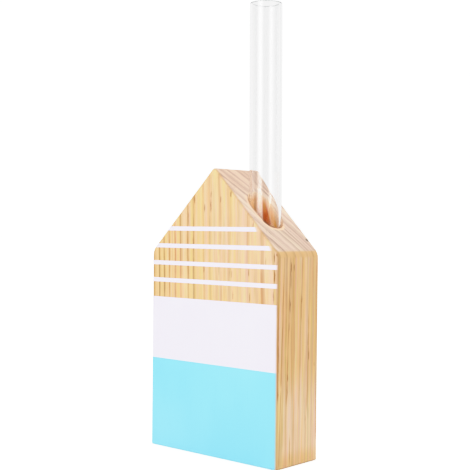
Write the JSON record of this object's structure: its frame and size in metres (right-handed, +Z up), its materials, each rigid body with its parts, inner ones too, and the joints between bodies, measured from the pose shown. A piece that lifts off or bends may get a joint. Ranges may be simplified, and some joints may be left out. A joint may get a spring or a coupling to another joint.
{
  "type": "test tube vase",
  "caption": "House-shaped pine block with a bore down one roof slope that holds a removable round-bottomed glass tube for a flower stem and water; striped printed front.",
  "frame": {"origin": "centre of the block's base, on the surface it stands on", "axes": "+Z up; -Y out of the printed front; +X towards the side whose roof slope has the bore"},
  "size_m": [0.08, 0.0301, 0.2117],
  "materials": {
    "pine": "fine sanded, unvarnished",
    "glass": "clear, fire-polished lip",
    "aqua_print": "matt screen-printed coat",
    "white_print": "matt screen-printed coat"
  },
  "bodies": {
    "block": {"house_block": "pine", "print_aqua_band": "aqua_print", "print_white_band": "white_print", "print_white_lines": "white_print"},
    "tube": {"test_tube": "glass"}
  },
  "joints": [
    {"name": "tube_lift", "type": "slide", "parent": "block", "child": "tube", "axis": [-0.0079, 0, 1], "range_m": [0, 0.065]}
  ]
}
